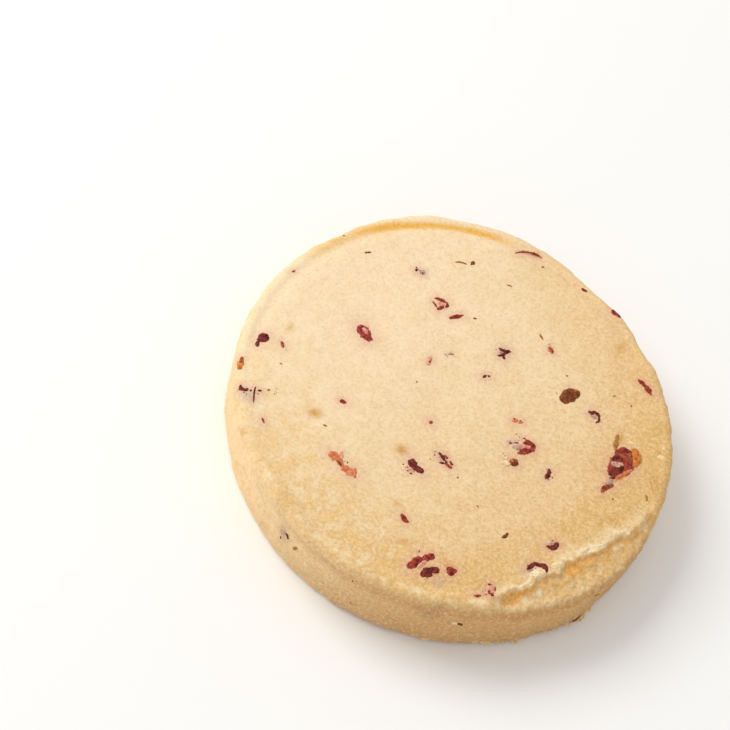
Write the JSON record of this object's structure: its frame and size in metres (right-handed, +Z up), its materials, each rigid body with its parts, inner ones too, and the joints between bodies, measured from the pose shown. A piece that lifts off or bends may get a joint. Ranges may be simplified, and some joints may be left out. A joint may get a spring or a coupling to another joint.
{
  "type": "shortbread biscuit",
  "caption": "Round slice-and-bake shortbread biscuit with dried berry flakes and a crumbled edge, resting flat.",
  "frame": {"origin": "middle of the flat underside, where the biscuit rests", "axes": "+Z up through the biscuit, with the crumbled step in the top edge towards +X and -Y"},
  "size_m": [0.0605, 0.0599, 0.0114],
  "materials": {
    "baked_dough": "dry, finely granular, pale golden baked dough with dark red flakes, matt"
  },
  "bodies": {
    "root": {"biscuit": "baked_dough"}
  },
  "joints": []
}
